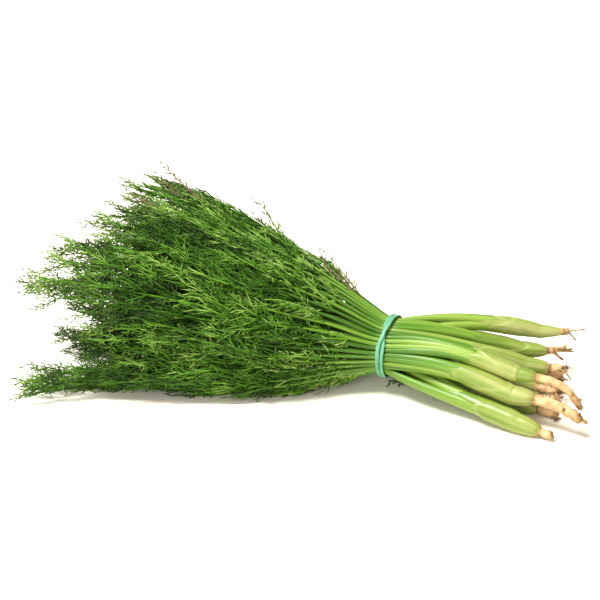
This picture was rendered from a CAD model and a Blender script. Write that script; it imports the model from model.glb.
"""A bunch of young dill with its roots, tied with a turquoise elastic and laid on a white surface."""

import math
import random

import bpy
import numpy as np
from mathutils import Matrix, Vector


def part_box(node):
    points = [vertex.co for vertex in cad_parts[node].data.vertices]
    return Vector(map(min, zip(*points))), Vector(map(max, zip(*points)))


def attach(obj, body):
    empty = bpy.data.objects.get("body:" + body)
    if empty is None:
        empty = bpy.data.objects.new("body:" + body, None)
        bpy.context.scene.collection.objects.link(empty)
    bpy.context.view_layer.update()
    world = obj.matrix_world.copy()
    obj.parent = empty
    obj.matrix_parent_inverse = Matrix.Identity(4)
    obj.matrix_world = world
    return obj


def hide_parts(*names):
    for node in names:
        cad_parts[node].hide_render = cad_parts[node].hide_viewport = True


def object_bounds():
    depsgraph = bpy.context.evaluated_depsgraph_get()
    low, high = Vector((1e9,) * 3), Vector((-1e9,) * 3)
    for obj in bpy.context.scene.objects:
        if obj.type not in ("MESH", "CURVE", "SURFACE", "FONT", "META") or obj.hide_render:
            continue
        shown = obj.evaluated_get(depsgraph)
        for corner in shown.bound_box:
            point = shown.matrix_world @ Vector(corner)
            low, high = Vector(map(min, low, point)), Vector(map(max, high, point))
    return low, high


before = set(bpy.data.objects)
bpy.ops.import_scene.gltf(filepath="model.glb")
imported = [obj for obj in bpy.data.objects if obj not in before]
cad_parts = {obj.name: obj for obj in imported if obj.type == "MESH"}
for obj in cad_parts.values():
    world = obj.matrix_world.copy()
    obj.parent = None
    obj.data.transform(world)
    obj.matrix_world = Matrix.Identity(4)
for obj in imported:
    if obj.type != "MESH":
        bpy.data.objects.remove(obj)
cad_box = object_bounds()

# ---------------- leaf stalks
# Eighty thin, round, grass-green leaf stalks run through the elastic in rings, two and two side by
# side. In front of it they open like a fan, and behind it they gather into twelve plants, each
# with its stalks grown out of one base.

MM = 0.001
TURN = 2 * math.pi
BAND_X = 55.0
NECK_HEIGHT = 24.6
NECK_END = BAND_X + 5.0
# Places are in mm with the band's middle at BAND_X, and SHIFT takes them to the frame's zero.
low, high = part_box("band")
SHIFT = np.array([(low.x + high.x) / 2 / MM - BAND_X, (low.y + high.y) / 2 / MM, 0])

# Along X: where the middle stands across and up, half the width, the reach above and below the
# middle, all in mm, and the share by which lying down fills out the lower corners.
SPREAD = np.array(
    [
        (-190, -10, 37, 94, 56, 33, 0.58),
        (-120, -5, 38.5, 78, 58, 35, 0.36),
        (-60, -3, 34, 59, 49, 31, 0.30),
        (0, -2, 27, 38, 33.5, 23, 0.26),
        (24, -1, 25.5, 27, 26, 19.5, 0.16),
        (50, 0, NECK_HEIGHT, 18.0, 15.0, 15.0, 0.0),
        (60, 0, NECK_HEIGHT, 18.0, 15.0, 15.0, 0.0),
    ]
)
# The upper corners fill out by this share of that, and no rib's middle is lower than the second.
FLAT_ABOVE = 0.2
LOWEST_RIB = 3.8

# How many places each ring through the band has, and how far out it is as a share of the radius.
RINGS = ((20, 1.00), (13, 0.68), (6, 0.36), (1, 0.0))
# In this ring the far places belong to the plant in the middle of the bunch.
MIDDLE_RING = 2
FAR_COSINE = 0.5
# A shift that keeps the places evenly apart round the oval, which is wider than it is tall.
OVAL = 0.043

# The plants: where the ribs of their outer stalks end, the root end (x, y, z, where z is 0 if the
# base lies on the surface), how far the base bows upwards, its radius, and how pale it is.
PLANTS = (
    ((-126, -124), (140, 46, 13.5), 1.5, 5.0, 0.45),
    ((-120, -113), (152, 42, 30.3), 3.4, 5.3, 0.95),
    ((-117, -119), (146, 30, 22.3), 1.5, 4.6, 0.30),
    ((-121,), (152, 10, 22.5), 2.0, 5.4, 0.55),
    ((-137, -145), (150, -13, 28.3), 5.5, 5.5, 0.75),
    ((-108, -110), (151, -18.7, 16.8), 5.5, 6.2, 0.65),
    ((-150, -146), (158, -31.5, 0), 0.0, 6.0, 0.35),
    ((-130, -133), (150, -7, 0), 0.0, 5.4, 0.55),
    ((-136, -134), (148, 6, 0), 0.0, 5.4, 0.60),
    ((-136,), (147, 19, 0), 0.0, 5.4, 0.50),
    ((-130, -128), (143, 33, 0), 0.0, 5.2, 0.70),
    ((), (148, -2, 15.0), 0.0, 4.3, 0.50),
)
# Where the inner rings' ribs end, and the furthest that those of the second ring reach.
INNER_ENDS = -124
SECOND_ENDS = -125
# Where the fronds start in each ring, how much nearer the band the lowest do, and how unevenly.
FROND_STARTS = (4, -14, -30, -40)
LOW_STARTS = 15.0
UNEVEN = 7.0
# The two stalks at a place stand this far to its sides, as an angle at the full radius. In the
# outer ring both stand this share further out, and one ends this much short of the other.
TWIN_APART = 0.074
TWIN_OUT = 0.05
TWIN_SHORT = 10.0
# A base lies level over this last stretch. It sets off from its neighbours this much faster than
# in a straight line, and one on the surface stands this share of its radius high.
BASE_LEVEL = 14.0
BASE_APART = 1.3
FLAT_SIDE = 0.93


def spread_row(x):
    """The bunch's six measures at x, each by a cubic in x through the four nearest rows of SPREAD."""
    rows = SPREAD[:, 0]
    k = np.clip(np.searchsorted(rows, x) - 1, 0, len(rows) - 2)
    a, b, c, d = (SPREAD[np.clip(k + step, 0, len(rows) - 1)] for step in (-1, 0, 1, 2))
    step = (c[..., 0] - b[..., 0])[..., None]
    t = (x - b[..., 0])[..., None] / step
    start = (c - a) / (c[..., :1] - a[..., :1]) * step
    end = (d - b) / (d[..., :1] - b[..., :1]) * step
    row = (2 * t**3 - 3 * t**2 + 1) * b + (t**3 - 2 * t**2 + t) * start
    row += (3 * t**2 - 2 * t**3) * c + (t**3 - t**2) * end
    return np.moveaxis(row[..., 1:], -1, 0)


def bunch_point(x, share, angle, lowest=0.0):
    """The point at x at this share of the bunch's radius and this angle round it, arrays welcome.

    It is the middle plus share times the half width times cos(angle), and times the reach times
    sin(angle), both swollen by 1 + flat sin(2 angle) squared, and it stays above lowest.
    """
    x, share, angle = np.broadcast_arrays(x, share, angle)
    across, middle, width, above, below, flat = spread_row(x)
    down = np.sin(angle) < 0
    square = 1 + flat * np.where(down, 1, FLAT_ABOVE) * np.sin(2 * angle) ** 2
    y = across + width * share * np.cos(angle) * square
    z = middle + np.where(down, below, above) * share * np.sin(angle) * square
    return np.stack([x, y, np.maximum(z, lowest)], -1)


def base_axis(plant, neck, x):
    """The middle of a plant at x, from its place in the band to its root end, level at the last.

    Between them it goes straight, plus the bow times sin(pi level), and it spreads a little sooner.
    """
    _, (root_x, root_y, root_z), bow, radius, _ = PLANTS[plant]
    root_z = root_z or FLAT_SIDE * radius
    run = np.maximum(x - NECK_END, 0.0)
    share = run / (root_x - NECK_END)
    apart = share * (BASE_APART + (1 - BASE_APART) * share)
    level = np.minimum(run / (root_x - BASE_LEVEL - NECK_END), 1.0)
    z = neck[2] + (root_z - neck[2]) * level + bow * np.sin(math.pi * level)
    return np.stack([x, neck[1] + (root_y - neck[1]) * apart, z], -1)


# Each stalk's ring and angle, its plant, and where its frond starts and ends.
draw = random.Random(11)
stems = []
for ring, (count, share) in enumerate(RINGS):
    for k in range(count):
        angle = TURN * (k + 0.5) / count
        angle += OVAL * math.sin(2 * angle)
        plant = len(PLANTS) - 1
        end = INNER_ENDS
        if share > 0 and not (ring == MIDDLE_RING and math.cos(angle) > FAR_COSINE):
            slot = (k + 0.5) / count * RINGS[0][0]
            outer = np.cumsum([len(row[0]) for row in PLANTS])
            plant = int(np.searchsorted(outer, slot, side="right"))
            end = PLANTS[plant][0][int(slot - outer[plant] + len(PLANTS[plant][0]))]
        end = (end, max(end, SECOND_ENDS), INNER_ENDS, INNER_ENDS)[ring]
        start = FROND_STARTS[ring] + LOW_STARTS * (0.5 - 0.5 * math.sin(angle))
        for side in (-1, 1):
            own = {
                "ring": ring,
                "plant": plant,
                "share": share + TWIN_OUT * (ring == 0),
                "angle": angle + side * TWIN_APART / max(share, RINGS[MIDDLE_RING][1]),
                "start": start - UNEVEN * draw.random(),
                "end": end - UNEVEN * draw.random() + TWIN_SHORT * (ring == 0 and side == (-1) ** k),
            }
            stems.append(own)


def stems_of(plant):
    """The stalks that grow from one plant."""
    return [stem for stem in stems if stem["plant"] == plant]


# The middle of each plant's stalks in the band.
necks = []
for number in range(len(PLANTS)):
    places = [bunch_point(BAND_X, stem["share"], stem["angle"]) for stem in stems_of(number)]
    necks.append(np.mean(places, 0))


def unit(vectors):
    """Each vector over its own length."""
    return vectors / np.maximum(np.linalg.norm(vectors, axis=-1, keepdims=True), 1e-9)


# A direction that no path runs along, from which each path's normals are taken.
ASKEW = (0.12, 0.23, 1.0)


def tubes(paths, radii, sides):
    """Round tubes along many paths, drawn to a point at both ends: (points, triangles, places).

    paths is tubes x stops x 3 and radii tubes x stops. The ring at a stop is the stop plus its
    radius times cos(a) of one normal and sin(a) of the other, both square to the path there. Each
    row of places is a point's tube, its share of the way along it and its share of a turn round it.
    """
    many, stops = paths.shape[:2]
    ahead = unit(np.gradient(paths, axis=1))
    first = unit(np.cross(ahead, ASKEW))
    second = np.cross(ahead, first)
    a = (np.arange(sides) * TURN / sides)[:, None]
    rings = slice(1, stops - 1)
    wall = paths[:, rings, None] + radii[:, rings, None, None] * (
        np.cos(a) * first[:, rings, None] + np.sin(a) * second[:, rings, None]
    )
    points = np.concatenate([paths[:, :1], wall.reshape(many, -1, 3), paths[:, -1:]], 1)
    ring, side = np.meshgrid(np.arange(stops - 3), np.arange(sides), indexing="ij")
    here = 1 + ring * sides + side
    beside = 1 + ring * sides + (side + 1) % sides
    around = np.arange(sides)
    last = 1 + (stops - 3) * sides
    faces = np.concatenate(
        [
            np.stack([here, beside + sides, here + sides], -1).reshape(-1, 3),
            np.stack([here, beside, beside + sides], -1).reshape(-1, 3),
            np.stack([0 * around, 1 + (around + 1) % sides, 1 + around], -1),
            np.stack([last + around, last + (around + 1) % sides, 0 * around + last + sides], -1),
        ]
    )
    faces = (faces[None] + (np.arange(many) * points.shape[1])[:, None, None]).reshape(-1, 3)
    along = np.concatenate([[0], np.repeat(np.linspace(0, 1, stops)[rings], sides), [1]])
    turned = np.concatenate([[0], np.tile(around / sides, stops - 2), [0]])
    tube = np.repeat(np.arange(many), points.shape[1])
    return points.reshape(-1, 3), faces, np.stack([tube, np.tile(along, many), np.tile(turned, many)], -1)


def joined(parts):
    """Several (points, triangles, attribute rows) as one, the triangles counted on."""
    counts = np.cumsum([0] + [len(part[0]) for part in parts[:-1]])
    points, rows = (np.concatenate([part[k] for part in parts]) for k in (0, 2))
    return points, np.concatenate([part[1] + count for part, count in zip(parts, counts)]), rows


def dress(node, what, paint, mesh_parts, keys):
    """The joined parts, in mm, as one smooth piece in metres that takes the place of a CAD node.

    Each column of their rows becomes an attribute of the mesh, by the name in keys, for the paint.
    """
    name = f"{node}_{what}"
    points, faces, rows = joined(mesh_parts)
    mesh = bpy.data.meshes.new(name)
    mesh.vertices.add(len(points))
    mesh.vertices.foreach_set("co", ((points + SHIFT) * MM).ravel())
    mesh.loops.add(3 * len(faces))
    mesh.loops.foreach_set("vertex_index", faces.ravel())
    mesh.polygons.add(len(faces))
    mesh.polygons.foreach_set("loop_start", np.arange(0, 3 * len(faces), 3))
    mesh.polygons.foreach_set("use_smooth", np.ones(len(faces), bool))
    mesh.update()
    for key, values in zip(keys, rows.T):
        mesh.attributes.new(key, "FLOAT", "POINT").data.foreach_set("value", values.astype(np.float32))
    mesh.materials.append(paint)
    made = bpy.data.objects.new(name, mesh)
    bpy.context.scene.collection.objects.link(made)
    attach(made, "root")
    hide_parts(node)


class Shade:
    """A node's output that takes part in Python arithmetic and makes further nodes in its tree."""

    def __init__(self, tree, output=None):
        self.tree = tree
        self.output = output

    def node(self, kind, settings=None, values=None, output=0):
        """A new node: its settings are set first, then its sockets get values or links."""
        made = self.tree.nodes.new(kind)
        for key, value in (settings or {}).items():
            if key == "stops":
                ramp = made.color_ramp.elements
                while len(ramp) < len(value):
                    ramp.new(1.0)
                for stop, (place, colour) in zip(ramp, value):
                    stop.position = place
                    stop.color = (*colour, 1)
            else:
                setattr(made, key, value)
        for key, value in (values or {}).items():
            if isinstance(value, Shade):
                self.tree.links.new(value.output, made.inputs[key])
            else:
                made.inputs[key].default_value = value
        return Shade(self.tree, made.outputs[output])

    def attribute(self, name):
        """The mesh's own attribute of this name, as a number."""
        return self.node("ShaderNodeAttribute", {"attribute_name": name}, output=2)

    def noise(self, scale, detail, vector=None):
        """Cloudy noise between 0 and 1, on Object coordinates where no vector is given."""
        vector = vector or self.node("ShaderNodeTexCoord", output=3)
        return self.node("ShaderNodeTexNoise", None, {"Vector": vector, "Scale": scale, "Detail": detail})

    def ramp(self, *stops):
        """This value as a colour, from stops of a place and a colour."""
        return self.node("ShaderNodeValToRGB", {"stops": stops}, {0: self})

    def mixed(self, first, second):
        """The first colour where this value is 0, the second where it is 1."""
        colours = [value if isinstance(value, Shade) else (*value, 1) for value in (first, second)]
        return self.node(
            "ShaderNodeMix", {"data_type": "RGBA"}, {0: self, 6: colours[0], 7: colours[1]}, output=2
        )

    def bump(self, strength, distance):
        """Normals raised by this value, up to this distance in metres."""
        values = {"Strength": strength, "Distance": distance, "Height": self}
        return self.node("ShaderNodeBump", None, values)

    def maths(self, operation, other):
        """A Math node, which the operators below use."""
        return self.node("ShaderNodeMath", {"operation": operation}, {0: self, 1: other})

    def __add__(self, other):
        return self.maths("ADD", other)

    def __sub__(self, other):
        return self.maths("SUBTRACT", other)

    def __mul__(self, other):
        return self.maths("MULTIPLY", other)


def material(name, constants):
    """A Principled material with these constants: (material, its shader's sockets, a first Shade)."""
    made = bpy.data.materials.new(name)
    made.use_nodes = True
    shader = made.node_tree.nodes["Principled BSDF"]
    for key, value in constants.items():
        shader.inputs[key].default_value = value
    return made, shader.inputs, Shade(made.node_tree)


def feed(socket, shade):
    """Links a shade to one of its shader's sockets."""
    shade.tree.links.new(shade.output, socket)


stalk_paint, sockets, shade = material("leaf_stalk", {"Roughness": 0.38, "Specular IOR Level": 0.35})
place = shade.attribute("place")
tone = shade.attribute("tone")
streak_axis = shade.node(
    "ShaderNodeCombineXYZ", None, {0: place * 6.0, 1: shade.attribute("around") * 14.0, 2: tone * 40.0}
)
streaks = shade.noise(1.0, 3.0, streak_axis)
stalk_green = (place + tone * 0.55 + streaks * 0.5 - 0.52).ramp(
    (0.0, (0.017, 0.061, 0.003)),
    (0.3, (0.042, 0.126, 0.005)),
    (0.6, (0.091, 0.204, 0.012)),
    (1.0, (0.209, 0.313, 0.044)),
)
feed(sockets["Base Color"], stalk_green)
feed(sockets["Normal"], streaks.bump(0.3, 0.0004))

# The radius of an outer and an inner stalk at the band, and of each where its frond takes over.
STALK = 1.45
INNER_STALK = 1.5
RIB = 0.7
THIN_POWER = 0.6
STALK_SIDES = 12
# A stalk ends inside its base this far ahead of the root end, this far from the middle and this
# thick, as shares of the base's radius.
SUNK_AHEAD = 34
SUNK_APART = 0.30
SUNK_THICK = 0.62
MERGE_POWER = 1.35
SUNK_POWER = 1.5
# At the other end it runs on inside its frond for this far.
STALK_PAST = 14
# The band nips the stalks, so beside it they bulge by this share within this many mm.
NIP = 0.07
NIP_WIDE = 7.0
# Behind the band they thicken by this much over this length.
SWELL = 0.9
SWELL_LENGTH = 30.0
# How pale a stalk is along X.
STALK_PALE = ((-60, 0, 45, 75, 110), (0.10, 0.38, 0.45, 0.62, 0.85))


def eased(share):
    """A smooth step from 0 to 1, share squared times (3 - 2 share), and level past both ends."""
    share = np.clip(share, 0, 1)
    return share * share * (3 - 2 * share)


def nipped(x):
    """The bulge at x: 1 + NIP (1 - exp(-((x - BAND_X) / NIP_WIDE) squared))."""
    return 1 + NIP * (1 - np.exp(-(((x - BAND_X) / NIP_WIDE) ** 2)))


def stalk(stem):
    """One stalk from inside its base, through the band, to its frond, as a tube.

    Behind the band the path is the plant's middle plus the stalk's own offset, which a smooth step
    of the way draws in; before the band it follows the bunch as it opens.
    """
    plant = stem["plant"]
    _, (root_x, *_), _, radius, _ = PLANTS[plant]
    full = INNER_STALK if stem["ring"] else STALK
    offset = bunch_point(BAND_X, stem["share"], stem["angle"]) - necks[plant]
    behind = np.linspace(root_x - SUNK_AHEAD, NECK_END, 18)
    sunk = eased((behind - NECK_END) / (root_x - SUNK_AHEAD - NECK_END)) ** MERGE_POWER
    kept = 1 - sunk * (1 - SUNK_APART * radius / max(np.linalg.norm(offset), 1.0))
    in_base = base_axis(plant, necks[plant], behind) + offset * (kept * nipped(behind))[:, None]
    before = np.linspace(BAND_X - 1, stem["start"] - STALK_PAST, 20)
    opened = bunch_point(before, stem["share"] * nipped(before), stem["angle"], LOWEST_RIB)
    fat = full + SWELL * np.clip((behind - NECK_END) / SWELL_LENGTH, 0, 1)
    fat = fat + (SUNK_THICK * radius - fat) * sunk**SUNK_POWER
    thin = full + (RIB - full) * np.linspace(0, 1, len(before)) ** THIN_POWER
    path = np.concatenate([in_base, opened])
    return tubes(path[None], np.concatenate([fat, thin])[None], STALK_SIDES)


chance = np.random.default_rng(5)
for number in range(len(PLANTS)):
    parts = []
    for stem in stems_of(number):
        points, faces, where = stalk(stem)
        place_of = np.interp(points[:, 0], *STALK_PALE)
        tone_of = np.full(len(points), chance.uniform(0, 1))
        parts.append((points, faces, np.stack([place_of, where[:, 2], tone_of], -1)))
    keys = ("place", "around", "tone")
    dress(f"plant_{number + 1:02d}", "stalks", stalk_paint, parts, keys)

# ---------------- bases
# Each plant's stalks rise out of one another's pale sheaths, which wrap into a smooth base like a
# small leek, thickest near the root. Every sheath ends in a slanting mouth with a thin, pale edge.

BASE_SIDES = 56
# How far ahead of the root end each ring of the surface is.
BASE_STOPS = np.concatenate([[0.0], np.linspace(0.0, 4.0, 8), np.linspace(5, 76, 64), [76.5]])
# How thick a base is: how far ahead of the root end, and the share of its radius there.
BASE_THICK = ((0, 1.2, 3.5, 9, 18, 32, 48, 66, 77), (0.44, 0.60, 0.73, 0.88, 0.99, 1.03, 0.92, 0.62, 0.12))
# That, smoothed over four millimetres, and how the root end is rounded off.
smooth_at = np.linspace(-8, 84, 185)
smooth_thick = np.interp(smooth_at, *BASE_THICK)
smooth_thick = np.convolve(np.pad(smooth_thick, 4, "edge"), np.ones(9) / 9, "valid")
ROUNDED = ((0, 0.6, 1.6, 3), (0.72, 0.90, 0.98, 1))
# The second plant's base narrows to this share of its width over this last stretch.
TAPERED = {1: 0.62}
TAPER_LENGTH = 26
# A base on the surface stays down on it as it narrows, over this last stretch.
STAYS_DOWN = 17
# Each sheath's mouth is this far ahead, unevenly, and slants over this much more. Each sheath is
# thinner than the one over it, and slopes off at its edge.
SHEATHS = ((14, 30), (34, 34), (52, 22))
MOUTH_UNEVEN = 5
SHEATH_THICK = 0.42
THINNER = 0.25
EDGE = 1.4
# The pale edge is strongest this far inside the mouth, and this wide.
PALE_INSIDE = 0.6
PALE_WIDE = 1.1
# The outer sheath laps over itself by this height along a line that turns a little as it runs.
LAP = 0.4
LAP_TURN = 0.012
LAP_FADES = ((2, 8, 40, 56), (0, 1, 1, 0))
# The fifth plant's outer sheath stops this far short of its root end, where a greener one shows.
PEELED = {4: 11.5}
PEEL_EDGE = 0.8
PEEL_DEEP = 0.7
PEEL_GREENER = 0.55
# How far the innermost sheath lies inside the base's radius.
INSET = 0.6
ABOVE_SURFACE = 0.03
# How pale a base is ahead of its root end, and how tan its very end is.
BASE_PALE = ((0, 12, 34, 52, 66), (0.92, 0.86, 0.66, 0.34, 0.12))
BASE_TAN = ((0, 1.5, 5), (1, 0.5, 0))
TAN_POWER = 1.5

base_paint, sockets, shade = material(
    "sheathed_base",
    {"Roughness": 0.36, "Specular IOR Level": 0.4, "Coat Weight": 0.05, "Coat Roughness": 0.25},
)
place = shade.attribute("place")
pale = shade.attribute("pale")
streak_axis = shade.node(
    "ShaderNodeCombineXYZ", None, {0: place * 1.6, 1: shade.attribute("around") * 22.0, 2: pale * 50.0}
)
streaks = shade.noise(1.0, 4.0, streak_axis)
clouds = shade.noise(70.0, 2.0)
base_green = (place * 0.62 + pale * 0.40 + (streaks - 0.5) * 1.1 + (clouds - 0.5) * 0.3).ramp(
    (0.0, (0.030, 0.091, 0.004)),
    (0.30, (0.075, 0.158, 0.009)),
    (0.55, (0.158, 0.237, 0.027)),
    (0.80, (0.269, 0.304, 0.071)),
    (1.0, (0.363, 0.363, 0.134)),
)
edged = (shade.attribute("edge") * 0.3).mixed(base_green, (0.44, 0.46, 0.16))
feed(sockets["Base Color"], (shade.attribute("end") * 0.75).mixed(edged, (0.30, 0.19, 0.065)))
feed(sockets["Normal"], streaks.bump(0.35, 0.0004))


def base_surface(number):
    """A base as a closed surface: (points, triangles, rows of place, around, pale, edge and end).

    The ring at x has the base's radius times a smoothed share. Each sheath adds its thickness
    where the distance from the root end is short of its mouth, mouth + slant (1 - cos(a - a0)) / 2,
    by a smooth step EDGE wide, and the outer one laps over itself along one long line. Fine ribs
    stand up by the sum of two cosines of the angle a round it.
    """
    _, (root_x, _, root_z), _, radius, paleness = PLANTS[number]
    share = np.interp(BASE_STOPS, smooth_at, smooth_thick) * np.interp(BASE_STOPS, *ROUNDED)
    share *= np.interp(BASE_STOPS, (0, TAPER_LENGTH), (TAPERED.get(number, 1.0), 1.0))
    axis = base_axis(number, necks[number], root_x - BASE_STOPS)
    if root_z == 0:
        axis[:, 2] -= FLAT_SIDE * radius * (1 - share) * (BASE_STOPS < STAYS_DOWN)
    points, faces, where = tubes(axis[None], (radius * share)[None], BASE_SIDES)
    stop = np.rint(where[:, 1] * (len(BASE_STOPS) - 1)).astype(int)
    ahead = BASE_STOPS[stop]
    a = where[:, 2] * TURN
    proud = np.zeros(len(points))
    edge = np.zeros(len(points))
    for k, (mouth, slant) in enumerate(SHEATHS):
        a0 = 2.1 * number + 2.3 * k
        to_mouth = mouth + MOUTH_UNEVEN * math.sin(3 * number + k) + slant * (1 - np.cos(a - a0)) / 2 - ahead
        proud += SHEATH_THICK * (1 - THINNER * k) * eased(to_mouth / EDGE)
        edge = np.maximum(edge, np.exp(-(((to_mouth - PALE_INSIDE) / PALE_WIDE) ** 2)))
    lap = (a + LAP_TURN * ahead * (1 if number % 2 else -1) + 1.3 * number) % TURN / TURN
    proud += LAP * (lap - 0.5) * np.interp(ahead, *LAP_FADES)
    if number in PEELED:
        bare = np.clip((PEELED[number] - ahead) / PEEL_EDGE, 0, 1)
        proud -= PEEL_DEEP * bare
        paleness = paleness - PEEL_GREENER * bare
    ribs = 0.05 * np.cos(17 * a) + 0.04 * np.cos(29 * a + 1.7)
    points = axis[stop] + (points - axis[stop]) * (1 + (proud + ribs - INSET) / radius)[:, None]
    points[:, 2] = np.maximum(points[:, 2], ABOVE_SURFACE)
    end = np.interp(ahead, *BASE_TAN) ** TAN_POWER
    columns = (np.interp(ahead, *BASE_PALE), where[:, 2], paleness + np.zeros(len(points)), edge, end)
    return points, faces, np.stack(columns, -1)


for number in range(len(PLANTS)):
    keys = ("place", "around", "pale", "edge", "end")
    dress(f"plant_{number + 1:02d}", "base", base_paint, [base_surface(number)], keys)

# ---------------- fronds
# Dill leaves are cut three times over into soft threads: side leaves on the rib, branches on those,
# and threads on the branches, all swept towards the tip. Each plant's fronds are one piece.

PAIRS = 10
BRANCHES = 8
THREADS = 3
SIDE_ANGLE = math.radians(32)
BRANCH_ANGLE = math.radians(36)
THREAD_ANGLE = math.radians(28)
# The longest side leaves are the sum of these two long, and those at the tip the second alone.
SIDE_LENGTH = 30.0
TIP_LENGTH = 13.0
# A rib stops this far short of its frond's end, and the last side leaves reach on from it.
RIB_SHORT = 0.75 * TIP_LENGTH
# How far out the leaves reach, as a share of the bunch's radius: along X, above and below.
OUTLINE = np.array(
    [
        (-150, 1.04, 1.10),
        (-125, 1.02, 0.99),
        (-105, 1.00, 0.96),
        (-80, 1.07, 1.01),
        (-40, 1.07, 1.09),
        (10, 1.24, 1.06),
        (50, 1.10, 1.00),
    ]
)
# What is left of a leaf's reach past that. Leaves stay within the solids' left and top ends.
PAST_OUTLINE = 0.25
MOST_LEFT = cad_box[0].x / MM - SHIFT[0]
MOST_HIGH = cad_box[1].z / MM
LOWEST_LEAF = 0.8
LOWEST_LOOSE = 0.6

leaf_paint, sockets, shade = material("dill_leaf", {"Roughness": 0.42, "Specular IOR Level": 0.12})
mottle = shade.noise(60.0, 2.0)
leaf_green = (shade.attribute("tint") + (mottle - 0.5) * 0.7).ramp(
    (0.0, (0.002, 0.013, 0.001)),
    (0.35, (0.007, 0.038, 0.001)),
    (0.62, (0.027, 0.104, 0.004)),
    (0.82, (0.088, 0.235, 0.014)),
    (1.0, (0.250, 0.390, 0.080)),
)
feed(sockets["Base Color"], shade.attribute("dry").mixed(leaf_green, (0.20, 0.155, 0.085)))

# How far a limb bends the way it is swept, as a share of its length.
BEND = 0.26
# Limbs grow along this much of the one they stand on. They roll, tilt, grow and pale unevenly.
LAST_LIMB = 0.96
ROLL = 0.5
TILTS = (0.7, 1.3)
GROWTH = (0.7, 1.15)
PALES = 0.09


def curve(limbs, t):
    """Points at t along the limbs: start + length (t ahead + BEND t squared sweep)."""
    t = np.asarray(t)[..., None]
    bent = t * limbs["ahead"][:, None] + BEND * t**2 * limbs["sweep"][:, None]
    return limbs["start"][:, None] + limbs["length"][:, None, None] * bent


def offshoots(limbs, count, tilt, share, taper):
    """Limbs that stand in turn on both sides of each limb, tilted off it and rolled unevenly.

    Their length is the limb's times share times 1 - taper t, where t is how far along they stand.
    """
    n = len(limbs["length"])
    t = (np.arange(count) + chance.uniform(0.25, 0.75, (n, count))) / count * LAST_LIMB
    start = curve(limbs, t)
    ahead = unit(limbs["ahead"][:, None] + 2 * BEND * t[..., None] * limbs["sweep"][:, None])
    roll = chance.normal(0, ROLL, (n, count))[..., None]
    across = limbs["across"][:, None]
    normal = np.cross(ahead, across)
    hand = np.where(np.arange(count) % 2, 1, -1)[None, :, None]
    side = hand * (np.cos(roll) * across + np.sin(roll) * normal)
    off = tilt * chance.uniform(*TILTS, (n, count))[..., None]
    headed = unit(np.cos(off) * ahead + np.sin(off) * side)
    length = limbs["length"][:, None] * share * (1 - taper * t) * chance.uniform(*GROWTH, (n, count))
    grown = {key: np.repeat(limbs[key], count, 0) for key in ("sweep", "tint", "dry", "fine")}
    grown["start"] = start.reshape(-1, 3)
    grown["ahead"] = headed.reshape(-1, 3)
    grown["across"] = unit(np.cross(headed, np.cross(ahead, side))).reshape(-1, 3)
    grown["length"] = length.ravel()
    grown["tint"] += chance.normal(0, PALES, n * count)
    return grown


# How much nearer the band than a frond's start its first leaves are, by its angle's sine.
FOOT_BEHIND = ((-1, 0.2, 0.9), (30, 20, 28))
# Low fronds, with a sine under this, and high ones: the power by which their pairs crowd towards
# the foot, how full the leaves are there, and how dry at the tip.
LOW_SINE = 0.3
LOW_FROND = (1.35, 0.85, 0.4)
HIGH_FROND = (0.9, 0.35, 1.0)
# The leaves reach their full length with this slope, and shorten to the tip by this power.
FULL_SLOPE = 2.6
SHORTEN_POWER = 0.75
PAIR_TURNS = 0.4
PAIR_TILTS = (0.7, 1.25)
PAIR_GROWTH = (0.75, 1.1)
PAIR_PALES = 0.12
# They are dry from this share of the way on, by up to half of this at the tip.
DRY_FROM = 0.75
DRY_MOST = 0.6


def rib_sides(stem):
    """The side leaves of one frond's rib, in pairs that turn by a quarter from one to the next.

    Their full length rises from the rib's foot and falls again to its tip, so a frond is a plume.
    Short steps along X and outwards give the rib's direction and the way out of it.
    """
    upward = math.sin(stem["angle"])
    crowded, foot_full, dryness = LOW_FROND if upward < LOW_SINE else HIGH_FROND
    s = ((np.arange(PAIRS) + chance.uniform(0.2, 0.8, PAIRS)) / PAIRS) ** crowded
    foot = stem["start"] + np.interp(upward, *FOOT_BEHIND)
    x = foot + (stem["end"] + RIB_SHORT - foot) * s
    share, angle = stem["share"], stem["angle"]
    here = bunch_point(x, share, angle, LOWEST_RIB)
    ahead = unit(bunch_point(x - 4, share, angle, LOWEST_RIB) - here)
    outward = bunch_point(x, share + 0.1, angle) - bunch_point(x, share, angle)
    if share == 0:
        outward = np.tile((0.0, 0.0, 1.0), (PAIRS, 1))
    aside = unit(np.cross(ahead, outward))
    outward = np.cross(aside, ahead)
    limbs = []
    for sign in (-1, 1):
        turn = np.where(np.arange(PAIRS) % 2, 0.0, TURN / 4) + chance.normal(0, PAIR_TURNS, PAIRS)
        side = sign * (np.cos(turn)[:, None] * aside + np.sin(turn)[:, None] * outward)
        tilt = SIDE_ANGLE * chance.uniform(*PAIR_TILTS, PAIRS)[:, None]
        headed = unit(np.cos(tilt) * ahead + np.sin(tilt) * side)
        full = SIDE_LENGTH * np.minimum(1.0, foot_full + FULL_SLOPE * s) * (1 - s) ** SHORTEN_POWER
        limbs.append(
            {
                "start": here,
                "ahead": headed,
                "across": unit(np.cross(headed, np.cross(ahead, side))),
                "sweep": ahead,
                "length": (TIP_LENGTH + full) * chance.uniform(*PAIR_GROWTH, PAIRS),
                "tint": stem["tint"] + chance.normal(0, PAIR_PALES, PAIRS),
                "dry": np.clip((s - DRY_FROM) * 2, 0, 1) * chance.uniform(0, DRY_MOST, PAIRS) * dryness,
                "fine": 1.12 - 0.30 * s,
            }
        )
    return {key: np.concatenate([part[key] for part in limbs]) for key in limbs[0]}


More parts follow.
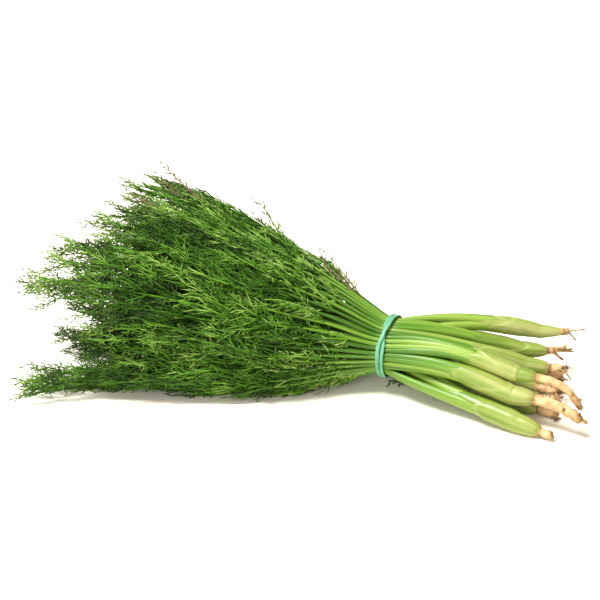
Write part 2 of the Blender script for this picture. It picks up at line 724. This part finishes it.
def own_share(points):
    """Where points stand in the bunch: the middle across and up, y and z from there, and the share.

    The share of the bunch's radius is the root sum square of y over the half width and z over the
    reach that way, over 1 + flat sin(2 angle) squared.
    """
    across, middle, width, above, below, flat = spread_row(points[..., 0])
    y = (points[..., 1] - across) / width
    z = points[..., 2] - middle
    tall = np.where(z < 0, below, above)
    z = z / tall
    square = 1 + flat * np.where(z < 0, 1, FLAT_ABOVE) * np.sin(2 * np.arctan2(z, y)) ** 2
    return across, middle, y * width, z * tall, np.hypot(y, z) / square


def kept_inside(points):
    """The points, with those that stand past the OUTLINE drawn back to near it.

    A point's share r becomes limit + PAST_OUTLINE (r - limit) where it was more than the limit.
    """
    across, middle, y, z, r = own_share(points)
    rows, over, under = OUTLINE.T
    x = points[..., 0]
    limit = np.where(z > 0, np.interp(x, rows, over), np.interp(x, rows, under))
    shrink = np.where(r > limit, (limit + PAST_OUTLINE * (r - limit)) / np.maximum(r, 0.1), 1.0)
    kept = np.stack([np.maximum(x, MOST_LEFT), across + y * shrink, middle + z * shrink], -1)
    kept[..., 2] = np.clip(kept[..., 2], LOWEST_LEAF, MOST_HIGH)
    return kept


# Leaves are paler towards a limb's tip and darker further in than this share of the bunch's radius,
# paler or darker along X, paler at the top, and drier at the tip.
TIP_PALER = 0.16
INSIDE_DARKER = 0.5
PALE_SHARE = 0.95
LEAF_PALE = ((-140, -85, -30, 20), (0.06, -0.05, 0.0, 0.06))
TOP_PALER = ((62, 90), (0.0, 0.04))
TIP_DRIER = 0.12


def leafy(limbs, layers, loose=False):
    """Tubes for the limbs and for all that grows from them, as mesh parts with tint and dry rows.

    A layer says how many limbs grow on each of the layer before, their tilt, share and taper, and
    then the stops along them, the radii there and the sides of the tube. A layer of 0 is the limbs
    themselves. All but loose ones are kept inside the bunch's outline.
    """
    parts = []
    for count, tilt, share, taper, stops, widths, sides in layers:
        if count:
            limbs = offshoots(limbs, count, tilt, share, taper)
        paths = curve(limbs, np.array(stops)[None])
        if loose:
            paths[..., 2] = np.maximum(paths[..., 2], LOWEST_LOOSE)
        else:
            paths = kept_inside(paths)
        points, faces, where = tubes(paths, limbs["fine"][:, None] * np.array(widths), sides)
        tube = where[:, 0].astype(int)
        out = np.clip(own_share(points)[-1], 0.4, 1.15) - PALE_SHARE
        tint = limbs["tint"][tube] + TIP_PALER * where[:, 1] + INSIDE_DARKER * out
        tint += np.interp(points[:, 0], *LEAF_PALE)
        tint += np.interp(points[:, 2], *TOP_PALER)
        dry = limbs["dry"][tube] + TIP_DRIER * where[:, 1] ** 2
        parts.append((points, faces, np.stack([tint, dry], -1)))
    return parts


LEAF_LAYERS = (
    (0, 0, 0, 0, (0, 0.04, 0.35, 0.7, 1), (0.70, 0.65, 0.52, 0.42, 0.2), 4),
    (BRANCHES, BRANCH_ANGLE, 0.50, 0.50, (0, 0.06, 0.5, 1), (0.42, 0.42, 0.36, 0.10), 3),
    (THREADS, THREAD_ANGLE, 0.85, 0.35, (0, 0.08, 0.6, 1), (0.34, 0.34, 0.30, 0.05), 3),
)

# Each frond's rib starts this much nearer the band than the frond does. It has these radii at its
# tip and its start, and is this much paler than the leaves on it.
RIB_STARTS = 6
RIB_THICK = (0.25, 0.85)
RIB_PALER = 0.18
# How pale leaves are, how much paler on top of the bunch and darker in each ring further in, and
# how unevenly.
FROND_PALE = 0.43
TOP_PALE = 0.10
RING_DARKER = 0.04
FROND_PALES = 0.10

# Single sprigs that have slipped out of the bunch: the plant, the foot and the tip in mm, how far
# the middle bows up, how many branches, how pale and how dry, and the thickness as a share of the
# usual and the branches' length as a share of the sprig's.
SPRIGS = (
    (1, (-17, 22, 68), (-41, 30, 93), 2.0, 9, 0.50, 0.25, 1.0, 0.30),
    (1, (-22, 20, 74), (-42, 25, 85), 1.0, 8, 0.45, 0.25, 0.9, 0.35),
    (2, (36, 10, 47), (5, 14, 74), 4.5, 7, 0.20, 0.90, 0.85, 0.20),
    (2, (30, 10, 51), (6, 12, 66), 3.0, 6, 0.20, 0.85, 0.75, 0.28),
    (2, (14, 12, 61), (5, 12, 76), 1.0, 4, 0.20, 0.80, 0.7, 0.30),
    (3, (42, 8, 36), (4, 12, 54), 1.0, 16, 0.32, 0.0, 1.2, 0.35),
    (3, (38, 2, 38), (0, 4, 54), 1.0, 14, 0.30, 0.0, 1.2, 0.35),
    (1, (-71, 24, 85), (-106, 30, 107.5), 1.5, 16, 0.25, 0.80, 1.0, 0.16),
    (1, (-79, 16, 88), (-105, 18, 106), 1.5, 12, 0.30, 0.60, 0.9, 0.25),
    (3, (-87, -6, 92), (-113, -6, 103), 1.0, 12, 0.30, 0.60, 0.9, 0.30),
    (7, (47, -18, 13), (28, -25, 16), 3.0, 8, 0.90, 0.05, 1.2, 0.45),
    (7, (44, -17, 12), (30, -28, 12), 2.5, 7, 0.95, 0.05, 1.2, 0.45),
    (6, (44, -20, 22), (24, -30, 24), 1.0, 9, 0.72, 0.0, 1.1, 0.45),
    (6, (40, -21, 34), (22, -29, 33), 2.0, 10, 0.66, 0.0, 1.1, 0.50),
    (6, (38, -22, 37), (20, -31, 38), 1.0, 10, 0.62, 0.0, 1.1, 0.50),
    (6, (36, -22, 30), (14, -32, 28), 2.0, 10, 0.60, 0.0, 1.1, 0.45),
    (7, (42, -19, 10), (18, -30, 7), 1.0, 10, 0.55, 0.0, 1.1, 0.45),
    (7, (38, -20, 16), (12, -33, 14), 1.0, 10, 0.60, 0.0, 1.1, 0.45),
    (7, (66, 3, 5), (57, -6, 3), -1.0, 7, 0.25, 0.20, 1.1, 0.45),
    (7, (68, 4, 4), (63, -5, 2.5), -1.0, 7, 0.20, 0.30, 1.1, 0.50),
)
LONG_LIMB = (0, 0, 0, 0, (0, 0.04, 0.2, 0.4, 0.6, 0.8, 1), (0.62, 0.60, 0.58, 0.54, 0.48, 0.38, 0.1), 4)


def sprig_layers(branches, reach):
    """The layers of a sprig with this many branches, this long as a share of its own length."""
    return (
        LONG_LIMB,
        (branches, BRANCH_ANGLE, reach, 0.45, (0, 0.08, 0.4, 0.7, 1), (0.46, 0.46, 0.44, 0.38, 0.1), 3),
        (2, THREAD_ANGLE, 0.7, 0.3, (0, 0.08, 0.6, 1), (0.38, 0.38, 0.34, 0.05), 3),
    )


# Whole leaf tips that reach out past the rest: the plant, the foot, the tip and how pale.
PLUMES = (
    (5, (-108, -22, 51), (-163, -46, 50), 0.60),
    (5, (-112, -28, 49), (-158, -42, 44), 0.55),
    (5, (-106, -16, 61), (-154, -20, 62), 0.50),
    (4, (-114, -8, 62), (-151, -10, 63), 0.55),
    (5, (-108, -14, 56), (-143, -20, 52), 0.45),
    (6, (-104, -28, 17), (-149, -36, 11), 0.50),
    (6, (-106, -22, 24), (-143, -28, 30), 0.50),
    (6, (-104, -30, 12), (-143, -37, 16), 0.45),
    (7, (-92, -66, 5), (-148, -84, 3), 0.60),
    (7, (-96, -62, 7), (-147, -70, 4), 0.60),
    (7, (-88, -66, 3), (-134, -75, 2), 0.50),
)
PLUME_DRY = 0.10
PLUME_FINE = 0.95
PLUME_LAYERS = (
    LONG_LIMB,
    (18, SIDE_ANGLE, 0.34, 0.50, (0, 0.04, 0.35, 0.7, 1), (0.50, 0.48, 0.44, 0.36, 0.15), 3),
    (6, BRANCH_ANGLE, 0.50, 0.45, (0, 0.08, 0.5, 1), (0.38, 0.38, 0.34, 0.10), 3),
    (THREADS, THREAD_ANGLE, 0.80, 0.35, (0, 0.08, 0.6, 1), (0.31, 0.31, 0.28, 0.05), 3),
)

# Young leaves stand on the near stalks, but not on the highest: the most that the angle's cosine
# and sine may be, how much nearer the band than the frond's start each foot is, how long a leaf
# is, and how far it leans aside and outwards and bows.
NEAR_COSINE = -0.25
HIGHEST_SINE = 0.6
YOUNG_FEET = (27, 17, 7, -3)
FEET_UNEVEN = 4
YOUNG_LENGTH = 24.0
YOUNG_GROWTH = (0.8, 1.2)
YOUNG_ASIDE = 0.25
YOUNG_OUT = 0.07
YOUNG_BOW = 0.5
YOUNG_DARKER = 0.15
YOUNG_PALES = 0.08
YOUNG_LAYERS = (
    (0, 0, 0, 0, (0, 0.04, 0.35, 0.7, 1), (0.60, 0.58, 0.54, 0.46, 0.1), 4),
    (9, BRANCH_ANGLE, 0.45, 0.45, (0, 0.08, 0.5, 1), (0.48, 0.48, 0.42, 0.1), 3),
    (2, THREAD_ANGLE, 0.75, 0.3, (0, 0.08, 0.6, 1), (0.40, 0.40, 0.36, 0.05), 3),
)

# A lone limb's branches stand left and right of it, as seen from the near side along this.
SEEN_ALONG = (0.3, -0.9, 0.3)


def lone_limb(foot, tip, bow, tint, dry, fine):
    """One limb from its foot to its tip, which sets off steeper by twice the bow and ends flatter."""
    foot, tip = np.array(foot, float), np.array(tip, float)
    ahead = unit(tip - foot + (0, 0, 2 * bow))
    limb = {
        "start": foot,
        "ahead": ahead,
        "across": unit(np.cross(ahead, SEEN_ALONG)),
        "sweep": unit(tip - foot - (0, 0, 2 * bow)),
        "length": np.linalg.norm(tip - foot) / (1 + BEND),
        "tint": tint,
        "dry": dry,
        "fine": fine,
    }
    return {key: np.array([value], float) for key, value in limb.items()}


def young_leaves(stem):
    """The young leaves on one stalk, each from its own foot outwards and a little aside."""
    parts = []
    feet = stem["start"] + np.array(YOUNG_FEET) + chance.uniform(-FEET_UNEVEN, FEET_UNEVEN, len(YOUNG_FEET))
    for foot_x in feet:
        angle = stem["angle"] + np.array([0, chance.uniform(-YOUNG_ASIDE, YOUNG_ASIDE)])
        x = np.array([foot_x, foot_x - YOUNG_LENGTH * chance.uniform(*YOUNG_GROWTH)])
        foot, tip = bunch_point(x, stem["share"] + np.array([0, YOUNG_OUT]), angle, LOWEST_RIB)
        tint = stem["tint"] - YOUNG_DARKER + chance.uniform(-YOUNG_PALES, YOUNG_PALES)
        parts += leafy(lone_limb(foot, tip, YOUNG_BOW, tint, 0.0, 1.0), YOUNG_LAYERS, loose=True)
    return parts


def frond(stem):
    """One stalk's frond: its rib, which runs on from the stalk, and the leaves on it."""
    x = np.linspace(stem["start"] + RIB_STARTS, stem["end"] + RIB_SHORT, 14)
    rib = bunch_point(x, stem["share"], stem["angle"], LOWEST_RIB)[None]
    thick = np.interp(x, (stem["end"] + TIP_LENGTH, stem["start"]), RIB_THICK)[None]
    points, faces, _ = tubes(kept_inside(rib), thick, 5)
    rows = np.tile((stem["tint"] + RIB_PALER, 0.0), (len(points), 1))
    return [(points, faces, rows)] + leafy(rib_sides(stem), LEAF_LAYERS)


for number in range(len(PLANTS)):
    parts = []
    sprigs, plumes = ([row[1:] for row in table if row[0] == number + 1] for table in (SPRIGS, PLUMES))
    for foot, tip, bow, branches, tint, dry, fine, reach in sprigs:
        limb = lone_limb(foot, tip, bow, tint, dry, fine)
        parts += leafy(limb, sprig_layers(branches, reach), loose=True)
    for foot, tip, tint in plumes:
        parts += leafy(lone_limb(foot, tip, 0.0, tint, PLUME_DRY, PLUME_FINE), PLUME_LAYERS, loose=True)
    for stem in stems_of(number):
        across, upward = math.cos(stem["angle"]), math.sin(stem["angle"])
        stem["tint"] = FROND_PALE + TOP_PALE * upward - RING_DARKER * stem["ring"]
        stem["tint"] += chance.normal(0, FROND_PALES)
        parts += frond(stem)
        if stem["ring"] == 0 and across < NEAR_COSINE and upward < HIGHEST_SINE:
            parts += young_leaves(stem)
    dress(f"plant_{number + 1:02d}", "fronds", leaf_paint, parts, ("tint", "dry"))

# ---------------- roots
# A short tan taproot, snapped off where it was pulled from the soil, with a few blunt side roots
# and hair roots left on it.

# Each root's length, thickness as a share of the base, how far it bends across and up by its end,
# the number, length and radius of its blunt side roots, and its number of hair roots.
ROOTS = (
    (14, 0.36, 1.0, 0.5, 2, 5, 0.8, 4),
    (4, 0.42, 1.0, -0.5, 2, 13, 0.6, 4),
    (5, 0.42, 0.0, -0.5, 3, 15, 1.0, 3),
    (11, 0.52, 1.0, -1.0, 7, 4, 0.9, 10),
    (30, 0.43, -1.0, -14.0, 3, 4, 1.1, 4),
    (31, 0.52, -1.0, -6.0, 5, 6, 1.5, 5),
    (9, 0.42, 0.0, 0.5, 2, 3, 1.3, 3),
    (15, 0.44, -2.0, 0.5, 4, 6, 1.1, 5),
    (12, 0.48, 1.0, 0.5, 3, 6, 1.2, 5),
    (16, 0.42, 2.0, 0.5, 4, 6, 1.1, 4),
    (13, 0.46, 1.0, 0.5, 3, 5, 1.0, 5),
    (13, 0.50, 1.0, -1.0, 5, 6, 1.1, 6),
)
ROOT_SIDES = 20
SAG_POWER = 3.5
# Its foot is this far inside the base, and this share of the radius high in one on the surface.
ROOT_INSIDE = 1.5
LOW_FOOT = 0.6
# It leans this share of the way that the base does, and wavers a little as it runs.
LEAN = 0.7
WAVER = 0.3
# How thick it is along its length, how uneven its skin is, and how far that swells it at most.
ROOT_THICK = ((0, 0.05, 0.1, 0.5, 0.9, 0.98, 1), (0.9, 1.12, 1.04, 0.98, 0.9, 0.7, 0.4))
SKIN_UNEVEN = 0.03
SWOLLEN = 1.09
# A dark collar stands this far from the foot and is this wide, and the end is dark from a share on.
COLLAR = 1.6
COLLAR_WIDE = 1.4
DARK_FROM = 0.62
# Blunt side roots and hair roots: how far forwards they lean, how far they curl, and from what
# share of the way on they grow. All hair roots have one length and one radius.
STUB_WAY = (1.3, 0.8, 0.5)
HAIR_WAY = (0.9, 2.5, 0.1)
HAIR_LENGTH = 7
HAIR_RADIUS = 0.32
# Both hang a little, and are this thick along their length.
HANGING = 0.25
SIDE_ROOT_THICK = ((0, 0.15, 0.9, 0.98, 1), (1.25, 1.0, 0.85, 0.6, 0.3))

root_paint, sockets, shade = material("root_skin", {"Roughness": 0.75, "Specular IOR Level": 0.25})
crust = shade.noise(260.0, 5.0)
grain = shade.noise(1400.0, 3.0)
root_tan = (shade.attribute("tone") + (crust - 0.5) * 1.1).ramp(
    (0.0, (0.044, 0.021, 0.010)),
    (0.30, (0.176, 0.086, 0.035)),
    (0.60, (0.440, 0.264, 0.119)),
    (1.0, (0.651, 0.466, 0.246)),
)
feed(sockets["Base Color"], root_tan)
feed(sockets["Normal"], (crust + grain * 0.3).bump(0.6, 0.0005))


def side_roots(path, t, places, length, radius, forward, curl):
    """Side roots from these places along the path, as tubes: each leaves it outwards and forwards.

    A side root is start + length s headed, plus curl times sin(4 s + phase) s across it.
    """
    many = len(places)
    turn = chance.uniform(0, TURN, many)
    headed = np.stack([0 * turn + forward, np.cos(turn), np.sin(turn) - HANGING], -1)
    start = np.stack([np.interp(places, t, path[:, k]) for k in range(3)], -1)
    s = np.concatenate([np.linspace(0, 0.94, 10), [0.98, 1.0]])[None, :, None]
    reach = (length * chance.uniform(0.6, 1.1, many))[:, None, None]
    bend = curl * chance.uniform(-1, 1, (many, 1, 3))
    wave = np.sin(4 * s + 9 * places[:, None, None])
    paths = start[:, None] + reach * s * unit(headed)[:, None] + bend * wave * s
    thick = radius * chance.uniform(0.7, 1.1, (many, 1))
    thick = thick * np.interp(s[0, :, 0], *SIDE_ROOT_THICK)
    paths[..., 2] = np.maximum(paths[..., 2], thick + 0.1)
    return tubes(paths, thick, 10)


for number, (length, thick, across, up, stubs, stub_length, stub_radius, hairs) in enumerate(ROOTS):
    # The taproot runs straight, plus across t squared and up t to the power SAG_POWER, and wavers.
    _, (root_x, root_y, root_z), _, radius, _ = PLANTS[number]
    lean = LEAN * root_y / (root_x - BAND_X)
    t = np.concatenate([np.linspace(0, 0.94, 24), [0.98, 1.0]])
    foot = np.array([root_x - ROOT_INSIDE, root_y, root_z or LOW_FOOT * radius])
    path = foot + np.stack([length * t, lean * length * t + across * t**2, up * t**SAG_POWER], -1)
    path[:, 1:] += WAVER * np.stack([np.sin(7 * t + number), np.cos(6 * t + number)], -1) * t[:, None]
    wide = radius * thick * np.interp(t, *ROOT_THICK)
    path[:, 2] = np.maximum(path[:, 2], SWOLLEN * wide + 0.05)
    points, faces, where = tubes(path[None], wide[None], ROOT_SIDES)
    # Three sines of the angle and the stop make its skin uneven.
    stop = np.rint(where[:, 1] * (len(t) - 1)).astype(int)
    a = where[:, 2] * TURN
    waves = np.sin(3 * a + 0.5 * stop + number) + np.sin(2 * a - 0.9 * stop)
    waves += 0.8 * np.sin(2.3 * stop + number)
    points = path[stop] + (points - path[stop]) * (1 + SKIN_UNEVEN * waves)[:, None]
    collar = np.exp(-(((where[:, 1] * length - COLLAR) / COLLAR_WIDE) ** 2))
    dark = np.clip((where[:, 1] - DARK_FROM) / (1 - DARK_FROM), 0, 1) ** 1.5
    parts = [(points, faces, (0.78 - 0.42 * collar - 0.38 * dark)[:, None])]
    torn = ((stubs, stub_length, stub_radius, *STUB_WAY), (hairs, HAIR_LENGTH, HAIR_RADIUS, *HAIR_WAY))
    for many, reach, size, forward, curl, first in torn:
        places = np.sort(chance.uniform(first, 0.95, many))
        points, faces, where = side_roots(path, t, places, reach, size, forward, curl)
        tone_of = 0.60 - 0.38 * where[:, 1] + 0.15 * np.sin(2.0 * where[:, 0])
        parts.append((points, faces, tone_of[:, None]))
    dress(f"root_{number + 1:02d}", "skin", root_paint, parts, ("tone",))

# ---------------- band
# One turquoise rubber elastic, wound twice round the stalks, so its two strands lie side by side
# and cross once on the near side.

STRAND_WIDTH = 2.25
STRAND_THICK = 1.1
WIDTH_UNEVEN = 0.05
SECTION_POWER = 2.6
GAP = 0.25
# It lies this far outside the oval that the outer stalks stand on, and has slipped along X.
OUTSIDE = 2.4
SLIPPED = 1.2
# Where the strands cross, and the angles over which they change sides and the top one comes down,
# once it has stayed up for a share of that.
CROSSING = math.radians(128)
CROSSING_ARC = math.radians(24)
LIFT_ARC = math.radians(46)
LIFT_STAYS = 0.4
LAP_STOPS = 150
STRAND_SIDES = 16

band_paint, sockets, shade = material("rubber_turquoise", {"Roughness": 0.52, "Specular IOR Level": 0.4})
powder = shade.noise(220.0, 4.0)
feed(sockets["Base Color"], powder.ramp((0.3, (0.07, 0.25, 0.135)), (0.75, (0.135, 0.345, 0.20))))
feed(sockets["Normal"], powder.bump(0.4, 0.0003))

# The loop goes round twice: at each stop, the angle past the crossing, the side step along X and
# the lift of the strand that lies on top.
stop = np.arange(2 * LAP_STOPS)
first_lap = stop < LAP_STOPS
past = TURN * (stop % LAP_STOPS) / LAP_STOPS
nearest = np.minimum(past, TURN - past)
step = eased(nearest / CROSSING_ARC) * 0.5 * (STRAND_WIDTH + GAP) * np.where(first_lap, 1, -1)
over = first_lap != (past < math.pi)
lift = np.where(over, (STRAND_THICK + GAP) * (1 - eased(nearest / LIFT_ARC - LIFT_STAYS)), 0.0)
angle = CROSSING + past
_, middle, width, above, _, _ = spread_row(np.array(BAND_X))
normal = unit(np.stack([0 * angle, np.cos(angle) / width, np.sin(angle) / above], -1))
clear = OUTSIDE + 1.5 * GAP + 0.5 * STRAND_THICK + lift
centre = np.stack([BAND_X + SLIPPED + step, width * np.cos(angle), middle + above * np.sin(angle)], -1)
centre += normal * clear[:, None]

# The strand's section is a flat rounded bar: across and out, each over its half size and to the
# power SECTION_POWER, add up to 1.
a = np.arange(STRAND_SIDES) * TURN / STRAND_SIDES
across = np.sign(np.cos(a)) * np.abs(np.cos(a)) ** (2 / SECTION_POWER)
out = np.sign(np.sin(a)) * np.abs(np.sin(a)) ** (2 / SECTION_POWER)
wide = 0.5 * STRAND_WIDTH * (1 + WIDTH_UNEVEN * np.sin(5 * angle + first_lap))
points = centre[:, None] + normal[:, None] * (0.5 * STRAND_THICK * out)[None, :, None]
points[..., 0] += wide[:, None] * across[None]
ring, side = np.meshgrid(stop, np.arange(STRAND_SIDES), indexing="ij")
following = (ring + 1) % (2 * LAP_STOPS)
here, ahead = ring * STRAND_SIDES + side, following * STRAND_SIDES + side
here_next, ahead_next = (at - side + (side + 1) % STRAND_SIDES for at in (here, ahead))
both = ((here, ahead_next, ahead), (here, here_next, ahead_next))
faces = np.concatenate([np.stack(corners, -1).reshape(-1, 3) for corners in both])
points = points.reshape(-1, 3)
dress("band", "rubber", band_paint, [(points, faces, np.zeros((len(points), 0)))], ())

# ---------------- surface, light and camera
# The bunch lies on white paper in an even room light. A round soft lamp hangs high over it, and a
# weaker square one stands low before it.

ROOM_LIGHT = (1.0, 0.985, 0.94, 1)
ROOM_STRENGTH = 0.42
# The view: how far round and above, and how far away in metres. It aims at this height in mm in
# the band, moved left and up by these metres, so that the whole bunch is in the middle.
AZIMUTH = math.radians(20)
ELEVATION = math.radians(28)
DISTANCE = 1.30
AIM_HEIGHT = 24.5
AIM_LEFT = 0.0528
AIM_UP = 0.0273

scene = bpy.context.scene
bpy.ops.mesh.primitive_plane_add(size=8)
floor = bpy.context.object
floor.name = "floor"
paper, *_ = material("paper_white", {"Base Color": (0.97, 0.92, 0.79, 1), "Roughness": 0.9})
floor.data.materials.append(paper)

world = bpy.data.worlds.new("studio")
scene.world = world
world.use_nodes = True
background = world.node_tree.nodes["Background"].inputs
background[0].default_value = ROOM_LIGHT
background[1].default_value = ROOM_STRENGTH


def soft_lamp(name, shape, size, energy, colour, place):
    """A lamp of this shape and size at this place, all in metres, aimed at the frame's zero."""
    light = bpy.data.lights.new(name, "AREA")
    light.shape = shape
    light.size = size
    light.energy = energy
    light.color = colour
    lamp = bpy.data.objects.new(name, light)
    lamp.location = place
    lamp.rotation_euler = (-lamp.location).to_track_quat("-Z", "Y").to_euler()
    scene.collection.objects.link(lamp)


soft_lamp("key", "DISK", 0.65, 46, (1.0, 1.0, 1.0), (-0.42, -0.26, 1.40))
soft_lamp("fill", "SQUARE", 1.0, 12, (1.0, 0.97, 0.91), (0.1, -1.3, 0.5))

level = math.cos(ELEVATION)
back = Vector((math.sin(AZIMUTH) * level, -math.cos(AZIMUTH) * level, math.sin(ELEVATION)))
right = Vector((math.cos(AZIMUTH), math.sin(AZIMUTH), 0))
up = back.cross(right)
band_middle = Vector((BAND_X, 0, AIM_HEIGHT)) * MM + Vector(SHIFT) * MM
aim = band_middle - right * AIM_LEFT + up * AIM_UP
turned = Matrix((right, up, back)).transposed().to_4x4()
camera = bpy.data.objects.new("camera", bpy.data.cameras.new("camera"))
camera.data.lens = 130
camera.data.sensor_width = 36
camera.matrix_world = Matrix.Translation(aim + back * DISTANCE) @ turned
scene.collection.objects.link(camera)
scene.camera = camera
scene.view_settings.view_transform = "Standard"
